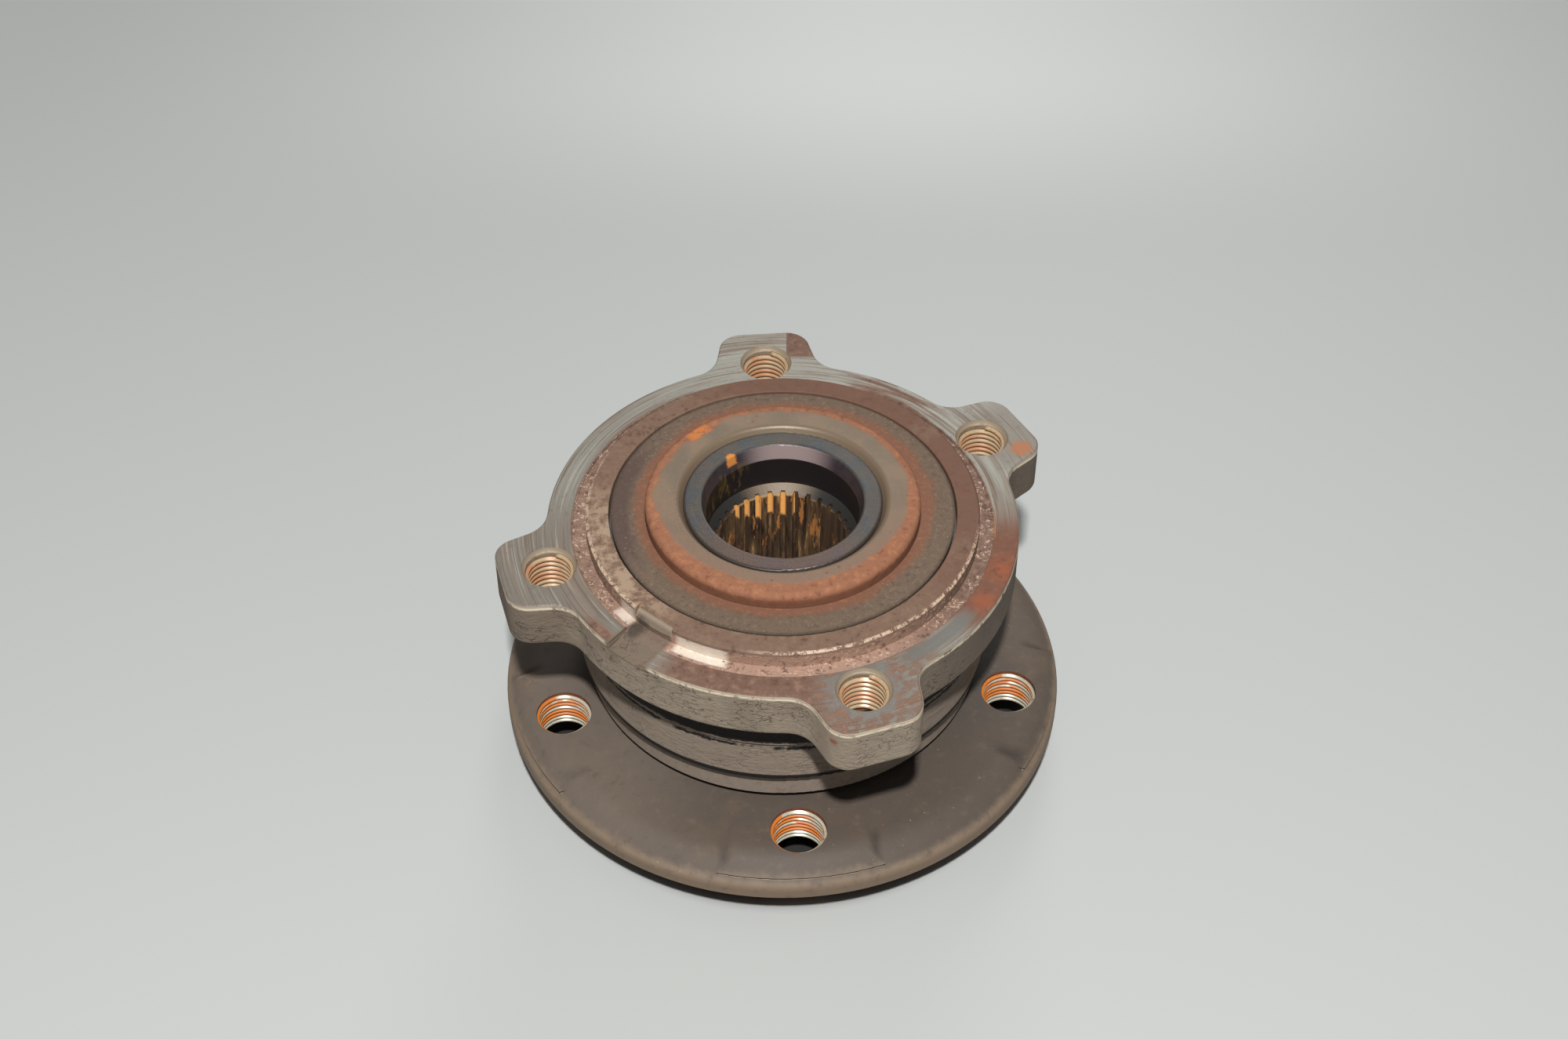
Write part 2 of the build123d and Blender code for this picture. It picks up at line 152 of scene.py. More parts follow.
class Coat:
    """A finish in the making: a shader whose colour, roughness and metal are laid on in layers.

    Patterns read the piece's own coordinates in millimetres, so sizes here are real sizes.
    """

    def __init__(self, name: str, base: Look) -> None:
        """Start a finish from its base.

        Args:
            name: The material's name.
            base: The look of the surface before any layer.
        """
        self.material = bpy.data.materials.new(name)
        self.material.use_nodes = True
        self.tree = self.material.node_tree
        self.shader = self.tree.nodes["Principled BSDF"]
        place = self.node("VectorMath", operation="SCALE")
        self.place = self.fed(place, self.node("TexCoord").outputs["Object"], Scale=1 / MM)
        self.x, self.y, self.z = self.split(self.place)
        self.radius = self.span(self.x, self.y)
        self.base = base
        self.layers: list[Layer] = []
        self.cloud: Socket | None = None
        self.mottle: Socket | None = None
        self.normal: Socket | None = None

    def node(self, kind: str, **settings: object) -> bpy.types.Node:
        """Add a node to the finish.

        Args:
            kind: The node's type name, after ShaderNode.
            settings: Attributes to set on it.

        Returns:
            The new node.
        """
        made = self.tree.nodes.new("ShaderNode" + kind)
        for key, value in settings.items():
            setattr(made, key, value)
        return made

    def link(self, source: Socket, target: Socket) -> None:
        """Join an output to an input."""
        self.tree.links.new(source, target)

    def feed(self, target: Socket, value: Socket | float | Tone) -> None:
        """Give an input a link, a fixed number or a fixed colour.

        Args:
            target: The input.
            value: An output to link, a number, or a colour of 0 to 255.
        """
        if isinstance(value, bpy.types.NodeSocket):
            self.link(value, target)
        else:
            target.default_value = srgb(*value) if isinstance(value, tuple) else value

    def fed(self, made: bpy.types.Node, *values: Socket | float,
            **named: float | Vector3) -> Socket:
        """Feed a node's inputs in order and by name, and give its first output.

        Args:
            made: The node.
            values: What its first inputs get, in order.
            named: Numbers for other inputs, by name, with underscores for spaces.

        Returns:
            The node's first output.
        """
        fill(made, **named)
        for target, value in zip(made.inputs, values):
            self.feed(target, value)
        return made.outputs[0]

    def split(self, vector: Socket) -> bpy.types.bpy_prop_collection:
        """Give a vector's three parts.

        Args:
            vector: The vector.

        Returns:
            Its x, y and z.
        """
        made = self.node("SeparateXYZ")
        self.link(vector, made.inputs[0])
        return made.outputs

    def math(self, operation: str, *values: Socket | float) -> Socket:
        """Work out a number from others, by the name of a maths node's operation."""
        return self.fed(self.node("Math", operation=operation), *values)

    def span(self, x: Socket, y: Socket) -> Socket:
        """Give the length of the line whose two legs are given."""
        return self.math(
            "SQRT", self.math("ADD", self.math("POWER", x, 2.0), self.math("POWER", y, 2.0)))

    def rise(self, value: Socket, low: float, high: float) -> Socket:
        """Give a mask that goes smoothly from 0 to 1 as a value rises.

        Args:
            value: What the mask follows.
            low: The level at which it is 0.
            high: The level at which it is 1; below low, the mask falls.

        Returns:
            The mask.
        """
        start, end = (0.0, 1.0) if low < high else (1.0, 0.0)
        return self.fed(self.node("MapRange", interpolation_type="SMOOTHSTEP"), value,
                        From_Min=min(low, high), From_Max=max(low, high), To_Min=start, To_Max=end)

    def band(self, value: Socket, low: float, high: float, soft: float) -> Socket:
        """Give a mask that is 1 between low and high and fades over soft on either side."""
        return self.both(
            self.rise(value, low - soft, low + soft), self.rise(value, high + soft, high - soft))

    def both(self, *masks: Socket | float) -> Socket:
        """Give the product of masks."""
        return reduce(partial(self.math, "MULTIPLY"), masks)

    def either(self, *masks: Socket) -> Socket:
        """Give the larger of several masks."""
        return reduce(partial(self.math, "MAXIMUM"), masks)

    def reach(self, low: float, high: float) -> Socket:
        """Give a mask that rises with the radius about the axis."""
        return self.rise(self.radius, low, high)

    def height(self, low: float, high: float) -> Socket:
        """Give a mask that rises with the height."""
        return self.rise(self.z, low, high)

    def clouds(self, low: float, high: float) -> Socket:
        """Give a mask that rises with the finish's broad pattern."""
        return self.rise(self.cloud, low, high)

    def fleck(self, low: float, high: float) -> Socket:
        """Give a mask that rises with the finish's fine pattern."""
        return self.rise(self.mottle, low, high)

    def shifted(self, value: Socket, pattern: Socket, by: float, middle: float = 0.0) -> Socket:
        """Move a value with a pattern, to break up the edge of a mask made from it.

        Args:
            value: The value, such as a radius.
            pattern: The pattern.
            by: How far one unit of the pattern moves the value.
            middle: The pattern's level that moves nothing.

        Returns:
            The moved value.
        """
        if middle:
            pattern = self.math("SUBTRACT", pattern, middle)
        return self.math("ADD", value, self.both(pattern, by))

    def without(self, mask: Socket) -> Socket:
        """Give the opposite of a mask."""
        return self.math("SUBTRACT", 1.0, mask)

    def noise(self, size: float, detail: float = 4.0, rough: float = 0.55,
              stretch: Vector3 = (1, 1, 1), shift: float = 0.0) -> Socket:
        """Give a cloudy pattern.

        Args:
            size: Size of its largest clouds, in millimetres.
            detail: Octaves of finer detail.
            rough: Strength of the finer detail.
            stretch: Factors on the coordinates; below 1 lengthens the clouds along that axis.
            shift: Offset in millimetres, to tell two patterns apart.

        Returns:
            A value around 0.5.
        """
        return self.noise_on(self.mapped(stretch, shift), size, detail, rough)

    def noise_on(self, vector: Socket, size: float, detail: float, rough: float = 0.55) -> Socket:
        """Give a cloudy pattern on any coordinates."""
        made = self.node("TexNoise")
        return self.fed(made, vector, Scale=1 / size, Detail=detail, Roughness=rough)

    def mapped(self, stretch: Vector3, shift: float) -> Socket:
        """Give the coordinates stretched and shifted."""
        made = self.node("Mapping")
        return self.fed(made, self.place, Scale=stretch, Location=(shift, shift, shift))

    def turned(self, pitch: float, run: float, shift: float = 0.0, detail: float = 3.0) -> Socket:
        """Give the fine grooves that turning leaves round the axis.

        Args:
            pitch: Distance between grooves, in millimetres.
            run: How far a groove stays the same along the circle, in millimetres.
            shift: Offset to tell two patterns apart.
            detail: Octaves of finer detail.

        Returns:
            A value around 0.5.
        """
        across = self.math("ADD", self.math("ADD", self.radius, self.z), shift)
        along = (self.both(axis, pitch / run) for axis in (self.x, self.y))
        return self.noise_on(self.fed(self.node("CombineXYZ"), across, *along), pitch, detail)

    def grains(self, size: float, share: float, shift: float = 0.0) -> Socket:
        """Give scattered round grains.

        Args:
            size: Distance between grains, in millimetres.
            share: Grain radius as a part of that distance.
            shift: Offset to tell two patterns apart.

        Returns:
            A mask, 1 inside the grains.
        """
        made = self.node("TexVoronoi", feature="F1")
        away = self.fed(made, self.mapped((1, 1, 1), shift), Scale=1 / size)
        return self.rise(away, share, share * 0.6)

    def cracks(self, size: float, width: float, shift: float, stretch: Vector3) -> Socket:
        """Give a net of cracks.

        Args:
            size: Size of a flake, in millimetres.
            width: Crack width as a part of that size.
            shift: Offset to tell two patterns apart.
            stretch: Factors on the coordinates.

        Returns:
            A mask, 1 in the cracks.
        """
        made = self.node("TexVoronoi", feature="DISTANCE_TO_EDGE")
        bend = self.node("TexNoise")
        self.fed(bend, self.place, Scale=2 / size)
        push = self.fed(
            self.node("VectorMath", operation="SCALE"), bend.outputs["Color"], Scale=size * 0.8)
        warped = self.fed(
            self.node("VectorMath", operation="ADD"), self.mapped(stretch, shift), push)
        return self.rise(self.fed(made, warped, Scale=1 / size), width, 0.0)

    def spot(self, angle: float, reach: float, size: float, soft: float,
             wander: Socket | None = None) -> Socket:
        """Give a round patch at an angle and radius about the axis.

        Args:
            angle: Degrees from +X.
            reach: Radius about the axis, in millimetres.
            size: The patch's radius.
            soft: Width of its fading edge.
            wander: A pattern that breaks up its edge.

        Returns:
            A mask, 1 inside the patch.
        """
        turn = math.radians(angle)
        return self.spot_at(reach * math.cos(turn), reach * math.sin(turn), size, soft, wander)

    def spots(self, angles: tuple[float, ...], reach: float, size: float, soft: float) -> Socket:
        """Give a clean round patch at each of several angles."""
        return self.either(*(self.spot(angle, reach, size, soft) for angle in angles))

    def spot_at(self, x: float, y: float, size: float, soft: float,
                wander: Socket | None = None) -> Socket:
        """Give a round patch about a point of the plan.

        Args:
            x: The patch's middle along X, in millimetres.
            y: Its middle along Y.
            size: The patch's radius.
            soft: Width of its fading edge.
            wander: A pattern that breaks up its edge.

        Returns:
            A mask, 1 inside the patch.
        """
        away = self.span(self.math("SUBTRACT", self.x, x), self.math("SUBTRACT", self.y, y))
        if wander is not None:
            away = self.shifted(away, wander, size * 1.6, 0.5)
        return self.rise(away, size + soft, size - soft)

    def facing(self, angle: float, half: float, soft: float) -> Socket:
        """Give a mask of the part of the circle about an angle.

        Args:
            angle: Degrees from +X.
            half: Half of the width, in degrees.
            soft: Degrees over which either side fades.

        Returns:
            A mask, 1 inside that part.
        """
        toward = self.math("DIVIDE", self.along(angle), self.math("MAXIMUM", self.radius, 1.0))
        return self.rise(toward, math.cos(math.radians(min(half + soft, 179.0))),
                         math.cos(math.radians(max(half - soft, 0.0))))

    def along(self, angle: float) -> Socket:
        """Give the distance from the axis along the direction at an angle."""
        turn = math.radians(angle)
        return self.shifted(self.both(self.x, math.cos(turn)), self.y, math.sin(turn))

    def aside(self, angle: float) -> Socket:
        """Give the distance to either side of the direction at an angle."""
        return self.math("ABSOLUTE", self.along(angle + 90))

    def upward(self) -> Socket:
        """Give a mask of surfaces that face along +Z.

        Returns:
            A mask, 1 on such surfaces.
        """
        turned = self.node(
            "VectorTransform", vector_type="NORMAL", convert_from="WORLD", convert_to="OBJECT")
        normal = self.fed(turned, self.node("NewGeometry").outputs["True Normal"])
        return self.rise(self.split(normal)[2], 0.5, 0.9)

    def lay(self, look: Look, *masks: Socket | float) -> None:
        """Lay another look over what is there, where all masks are 1."""
        self.layers.append(Layer(self.both(*masks), look.colour, look.roughness, look.metallic))

    def stain(self, colour: Tone, *masks: Socket | float) -> None:
        """Change only the colour, where all masks are 1."""
        self.layers.append(Layer(self.both(*masks), colour))

    def relief(self, height: Socket, depth: float, strength: float = 1.0) -> None:
        """Raise and lower the surface's shading.

        Args:
            height: The pattern, 0 to 1.
            depth: What 1 stands for, in millimetres.
            strength: Strength of the effect.
        """
        bump = self.node("Bump")
        self.link(height, bump.inputs["Height"])
        if self.normal is not None:
            self.link(self.normal, bump.inputs["Normal"])
        self.normal = self.fed(bump, Distance=depth * MM, Strength=strength)

    def soften(self, mask: Socket, start: float, end: float, tilt: float) -> None:
        """Shade gentle slopes as one domed face, where the mask is 1.

        Args:
            mask: Where to do so.
            start: Radius up to which the dome is level.
            end: Radius at which it is steepest.
            tilt: Its slope there, as rise over run.
        """
        share = self.both(self.reach(start, end), tilt / end)
        dome = self.fed(
            self.node("CombineXYZ"), self.both(self.x, share), self.both(self.y, share), 1.0)
        turned = self.node(
            "VectorTransform", vector_type="NORMAL", convert_from="OBJECT", convert_to="WORLD")
        blend = self.node("Mix", data_type="VECTOR")
        self.link(mask, blend.inputs[0])
        self.link(self.node("NewGeometry").outputs["Normal"], blend.inputs[4])
        self.link(self.fed(turned, dome), blend.inputs[5])
        unit = self.node("VectorMath", operation="NORMALIZE")
        self.normal = self.fed(unit, blend.outputs[1])

    def done(self) -> Material:
        """Join the layers to the shader and give the material.

        Returns:
            The material.
        """
        for quality in Quality:
            self.join(quality)
        if self.normal is not None:
            self.link(self.normal, self.shader.inputs["Normal"])
        self.material.diffuse_color = srgb(*self.base.colour)
        return self.material

    def join(self, quality: Quality) -> None:
        """Mix one quality of all layers and feed it to the shader.

        Args:
            quality: The quality to mix.
        """
        target, kind, first, out = quality.value
        value: Socket | float | Tone = getattr(self.base, quality.name.lower())
        for layer in self.layers:
            over = getattr(layer, quality.name.lower())
            if over is None or over == value:
                continue
            mixed = self.node("Mix", data_type=kind)
            self.link(layer.mask, mixed.inputs[0])
            self.feed(mixed.inputs[first], value)
            self.feed(mixed.inputs[first + 1], over)
            value = mixed.outputs[out]
        self.feed(self.shader.inputs[target], value)


@dataclass
class Part:
    """What every sub-assembly knows: its body and how to place a made mesh on it."""

    body: str

    def shape(self, name: str, mesh: bmesh.types.BMesh, material: Material, slot: str) -> None:
        """Turn a made mesh into a piece that rides on the body.

        Args:
            name: The piece's name.
            mesh: Its mesh, in millimetres.
            material: Its finish.
            slot: The record's material slot that it belongs to; not used.
        """
        bmesh.ops.scale(mesh, vec=(MM, MM, MM), verts=mesh.verts)
        for face in mesh.faces:
            face.smooth = True
        data = meshed(name, mesh)
        data.materials.append(material)
        piece = hang(name, data)
        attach(piece, self.body)
        log.info("%s: %d faces on %s", name, len(data.polygons), self.body)

    def dress(self, material: Material, *nodes: str) -> None:
        """Give nodes of the frame a finish.

        Args:
            material: The finish.
            nodes: Names of the nodes.
        """
        for node in nodes:
            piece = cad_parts[node]
            piece.data.materials.clear()
            piece.data.materials.append(material)
            log.info("%s: dressed in %s", node, material.name)


@dataclass
class Hub(Part):
    """The hub forging: wheel flange, spindle with its rolled head, and the splined bore."""

    body: str = "hub"
    bolt_circle: float = 60.0
    bolt_hole: float = 7.0
    bolt_angles: tuple[float, ...] = (202.0, 274.0, 346.0, 58.0, 130.0)
    rim: float = 72.3
    face: float = 11.2
    spline_teeth: int = 32
    head: float = 24.6
    lead_in: tuple[float, float] = (51.2, 53.2)
    thread_crest: float = 6.32
    thread_pitch: float = 1.25

    def finish(self) -> Material:
        """Make the forging's finish.

        Returns:
            The material.
        """
        coat = Coat("hub_forging", Look((102, 89, 78), 0.62))
        coat.cloud = coat.noise(24, 5, 0.55)
        coat.mottle = coat.noise(3, 6, 0.7, shift=40)
        self.flange_clouds(coat)
        self.flange_marks(coat)
        self.outboard_side(coat)
        self.bolt_walls(coat)
        self.spindle(coat)
        self.bore_depth(coat)
        slopes = coat.both(coat.reach(51, 53), coat.height(3.6, 5.2), 0.93)
        coat.soften(slopes, 62, self.rim, 0.75)
        coat.relief(coat.noise(0.7, 5, 0.7), 0.08, 0.7)
        return coat.done()

    def flange_clouds(self, coat: Coat) -> None:
        """Lay the broad tones of the inboard face: slate near the root, tan at the rim.

        Args:
            coat: The finish under way.
        """
        inboard = coat.height(3, 6)
        wander = coat.shifted(coat.radius, coat.cloud, 22, 0.5)
        coat.stain((88, 81, 75), coat.rise(wander, 61, 53), inboard, 0.75)
        for angle in self.bolt_angles:
            coat.stain(
                (88, 79, 72), coat.spot(angle, self.bolt_circle - 1, 11, 5, coat.cloud), 0.35)
        coat.stain((116, 98, 80), coat.rise(coat.noise(13, 4, 0.6, shift=25), 0.5, 0.66), 0.5)
        coat.stain((86, 78, 71), coat.facing(316, 34, 18), inboard, 0.5)
        coat.stain((122, 109, 97), coat.facing(206, 34, 18), inboard, 0.6)
        coat.stain((92, 78, 66), coat.facing(282, 34, 24), inboard, 0.4)
        coat.stain(
            (152, 130, 108), coat.rise(coat.shifted(coat.radius, coat.mottle, 2), 71, 73.4), 0.8)
        coat.stain((136, 118, 100), coat.fleck(0.52, 0.75), 0.3)
        coat.stain((78, 69, 62), coat.fleck(0.46, 0.28), 0.35)

    def flange_marks(self, coat: Coat) -> None:
        """Lay dark marks along the pads' sides, a pale painted light under the pads' foot ledge,
        and scattered rust and grains.

        Args:
            coat: The finish under way.
        """
        # Darker bands along both sides of each pad, broken up by the clouds.
        sides = coat.either(
            *(coat.both(coat.band(coat.aside(angle), 17.6, 19.6, 1.2),
                        coat.band(coat.along(angle), 60.5, 67, 2)) for angle in self.bolt_angles))
        coat.lay(Look((58, 52, 46), 0.7), sides, coat.clouds(0.36, 0.56), coat.height(4, 7), 0.7)
        # Painted light: a pale thin line that brightens the strip shaded by the pads' foot ledge.
        ledge_shadow_lift = coat.either(
            *(coat.both(coat.rise(coat.aside(angle), 20.6, 19.8),
                        coat.rise(coat.along(angle), 50, 60)) for angle in self.bolt_angles))
        coat.stain(
            (226, 198, 172), ledge_shadow_lift, coat.band(coat.z, 5.6, 6.76, 0.05), coat.reach(70.4, 70.7))
        coat.stain((150, 92, 64), coat.grains(2.6, 0.15, 7),
                   coat.rise(coat.noise(9, 2, 0.5, shift=90), 0.6, 0.68), 0.6)
        coat.stain((196, 184, 166), coat.grains(4.2, 0.035, 31), 0.8)
        coat.stain((70, 60, 52), coat.grains(1.3, 0.1, 52), coat.fleck(0.5, 0.7), 0.5)
        coat.stain(
            (164, 112, 52), coat.spot(189, 66.5, 2.6, 1.6, coat.mottle), coat.fleck(0.5, 0.6), 0.8)

    def outboard_side(self, coat: Coat) -> None:
        """Lay the turned disc face and spigots, dulled where the brake disc sat.

        Args:
            coat: The finish under way.
        """
        outboard = coat.height(0.6, 0.1)
        coat.lay(Look((128, 117, 104), 0.5, 0.35), outboard)
        coat.lay(Tint.BROWN_RUST.value, outboard,
                 coat.rise(coat.noise(14, 5, 0.65, shift=15), 0.46, 0.6), 0.85)
        coat.lay(Tint.ORANGE_RUST.value, outboard,
                 coat.either(coat.reach(66, 71), coat.band(coat.radius, 38, 43, 1.5)), 0.8)

    def bolt_walls(self, coat: Coat) -> None:
        """Lay rust on the walls of the bolt holes, behind the threads."""
        walls = coat.spots(self.bolt_angles, self.bolt_circle, self.bolt_hole + 0.05, 0.04)
        coat.lay(Look((150, 78, 30), 0.8), walls, coat.without(coat.upward()))

    def spindle(self, coat: Coat) -> None:
        """Lay the blued, rolled head, with painted shade on its rim by the gap to the inner ring,
        and the tapered mouth inside it, with a painted highlight at its back.

        Args:
            coat: The finish under way.
        """
        head = coat.both(coat.height(61, 61.8), coat.reach(27, 26))
        coat.lay(Look((86, 82, 76), 0.38, 0.15), head)
        coat.stain((78, 81, 83), head, coat.rise(coat.noise(8, 4, 0.6, shift=61), 0.42, 0.6))
        coat.stain((102, 86, 76), head, coat.fleck(0.52, 0.38), 0.6)
        coat.stain((112, 86, 76), head, coat.facing(268, 46, 22), 0.6)
        coat.stain((122, 118, 112), head, coat.rise(coat.turned(0.35, 20), 0.5, 0.7), 0.25)
        # Painted shade: the head's outer rim is dark where it meets the gap to the inner ring.
        coat.stain((58, 48, 42), head, coat.reach(self.head - 1.2, self.head - 0.2), 0.75)
        mouth = coat.both(coat.height(61.3, 61.7), coat.reach(20.02, 19.9))
        coat.lay(Look((84, 74, 78), 0.3, 0.3), mouth)
        coat.stain((60, 52, 56), mouth, coat.fleck(0.46, 0.6), 0.4)
        # Painted highlight: the back of the mouth, which faces the key lamp, is pale.
        coat.lay(Look((176, 155, 152), 0.34, 0.1), mouth, coat.facing(86, 20, 20))

    def bore_depth(self, coat: Coat) -> None:
        """Lay the black counterbore, the dark lead-in with a painted highlight at its back, and the
        grimy, rust-filled spline with painted light on its back teeth.

        Args:
            coat: The finish under way.
        """
        inside = coat.reach(19.4, 19.2)
        low, high = self.lead_in
        coat.lay(
            Look((46, 41, 42), 0.3, 0.1), inside, coat.height(61.6, 61.4), coat.height(-2.4, -1.8))
        coat.lay(Look((120, 96, 44), 0.6), inside, coat.facing(158, 34, 12), coat.height(53.5, 55),
                 coat.rise(coat.noise(2.4, 5, 0.7, (1, 1, 0.35), 9), 0.5, 0.62), 0.8)
        lead = coat.both(inside, coat.band(coat.z, low - 0.4, high + 0.1, 0.1))
        coat.lay(Look((48, 46, 43), 0.42, 0.1), lead)
        # Painted highlight: the back of the lead-in, which faces the key lamp, is paler.
        coat.lay(Look((118, 98, 76), 0.45, 0.1), lead, coat.facing(93, 12, 24))
        teeth = coat.both(inside, coat.height(low + 0.5, low - 0.1), coat.height(12, 13))
        streak = coat.noise(1.5, 4, 0.65, (1, 1, 0.1))
        coat.lay(Look((82, 64, 50), 0.5), teeth)
        # Painted light: paler streaks on the teeth of the back wall, which faces the key lamp.
        lit = coat.facing(118, 62, 34)
        coat.stain((128, 98, 68), teeth, lit, coat.rise(streak, 0.46, 0.62))
        coat.stain((196, 156, 104), teeth, lit, coat.rise(streak, 0.61, 0.68))
        coat.stain((40, 31, 26), teeth, coat.rise(streak, 0.44, 0.36), 0.8)
        spaces = coat.both(teeth, coat.reach(16.35, 16.6))
        turn = coat.both(coat.math("ARCTAN2", coat.y, coat.x), self.spline_teeth / math.tau)
        lot = coat.node("TexWhiteNoise", noise_dimensions="1D")
        coat.link(coat.math("ROUND", turn), lot.inputs["W"])
        filled = coat.math("GREATER_THAN", coat.facing(112, 28, 20), lot.outputs["Value"])
        length = coat.shifted(coat.shifted(coat.z, coat.mottle, 4), lot.outputs["Value"], 6)
        coat.lay(Look((255, 196, 112), 0.9), spaces, filled, coat.rise(length, 49.2, 50.2))
        coat.lay(Look((206, 134, 64), 0.9), teeth,
                 coat.rise(coat.noise(2.2, 4, 0.7, (1, 1, 0.22), 71), 0.57, 0.63),
                 coat.facing(100, 60, 14), coat.height(30, 38), 0.8)
        coat.lay(Look((222, 142, 66), 0.9), coat.spot(131, 19.6, 1.5, 0.3, coat.mottle),
                 coat.height(62.8, 63.6))

    def build(self) -> None:
        """Dress the forging and cut the threads into its bolt holes."""
        self.dress(self.finish(), "wheel_hub")
        thread = Thread(
            self.body, "forged_hub", self.bolt_hole - 0.01, self.thread_crest, self.thread_pitch)
        material = thread.finish(
            "wheel_bolt_thread", Look((222, 128, 50), 0.5), Look((212, 206, 184), 0.28, 0.2), 0.5)
        for number, angle in enumerate(self.bolt_angles, start=1):
            thread.cut(f"wheel_bolt_thread_{number}", material, angle, self.bolt_circle, 0.02,
                       self.face - 0.1)


@dataclass
class Thread(Part):
    """The ridges of an internal thread, wound on the wall of a hole in the frame."""

    slot: str
    wall: float
    crest: float
    pitch: float
    steps_per_turn: int = 40
    flat_share: float = 0.14

    def finish(self, name: str, rust: Look, bright: Look, share: float) -> Material:
        """Make the ridges' finish: turns of rust and turns rubbed bright, with painted shade in the
        grooves.

        Args:
            name: The material's name.
            rust: The look of the rusty turns.
            bright: The look of the bright ones.
            share: The noise level above which a turn is bright.

        Returns:
            The material.
        """
        coat = Coat(name, rust)
        turn, across, _ = coat.split(coat.node("TexCoord").outputs["UV"])
        lot = coat.node("TexNoise", noise_dimensions="1D")
        fill(lot, Scale=0.9, Detail=2)
        coat.link(coat.shifted(turn, coat.noise(5, 2, 0.5), 0.8), lot.inputs["W"])
        level = coat.shifted(lot.outputs[0], coat.math("COSINE", coat.both(turn, math.tau)), 0.05)
        coat.lay(bright, coat.rise(level, share - 0.03, share + 0.03))
        coat.stain((190, 104, 44), coat.rise(coat.noise(1.1, 3, 0.6, shift=5), 0.54, 0.7), 0.4)
        # Painted shade: the roots of the ridges, in the grooves, are dark brown.
        edge = coat.math("ABSOLUTE", coat.math("SUBTRACT", across, 0.5))
        coat.stain((96, 58, 32), coat.rise(edge, 0.4, 0.5), 0.8)
        return coat.done()

    def cut(self, name: str, material: Material, angle: float, reach: float,
            bottom: float, top: float) -> None:
        """Wind one thread.

        Args:
            name: The piece's name.
            material: Its finish.
            angle: Degrees of the hole from +X.
            reach: Radius of the hole's axis about Z, in millimetres.
            bottom: Height of the lowest ridge.
            top: Height of the highest ridge.
        """
        mesh = bmesh.new()
        flat = self.pitch * self.flat_share
        half = self.pitch * 0.46
        section = [(self.wall, -half), (self.crest, -flat), (self.crest, flat), (self.wall, half)]
        corners = [mesh.verts.new((wide, 0, bottom + half + high)) for wide, high in section]
        edges = [mesh.edges.new((corners[i], corners[(i + 1) % 4])) for i in range(4)]
        mesh.faces.new(corners)
        turns = (top - bottom - 2 * half) / self.pitch
        steps = round(turns * self.steps_per_turn)
        spun = bmesh.ops.spin(
            mesh, geom=corners + edges, cent=(0, 0, 0), axis=(0, 0, 1),
            dvec=(0, 0, self.pitch / self.steps_per_turn), angle=math.tau * turns, steps=steps,
            use_duplicate=False)
        last = [item for item in spun["geom_last"] if isinstance(item, bmesh.types.BMEdge)]
        bmesh.ops.contextual_create(mesh, geom=last)
        bmesh.ops.recalc_face_normals(mesh, faces=mesh.faces)
        for edge in mesh.edges:
            steps_apart = abs(edge.verts[0].index // 4 - edge.verts[1].index // 4)
            edge.smooth = steps_apart == 0
        layer = mesh.loops.layers.uv.new("helix")
        for face in mesh.faces:
            for loop in face.loops:
                step, corner = divmod(loop.vert.index, 4)
                loop[layer].uv = (step / self.steps_per_turn, corner / 3)
        turn = math.radians(angle)
        bmesh.ops.translate(
            mesh, vec=(reach * math.cos(turn), reach * math.sin(turn), 0), verts=mesh.verts)
        self.shape(name, mesh, material, self.slot)


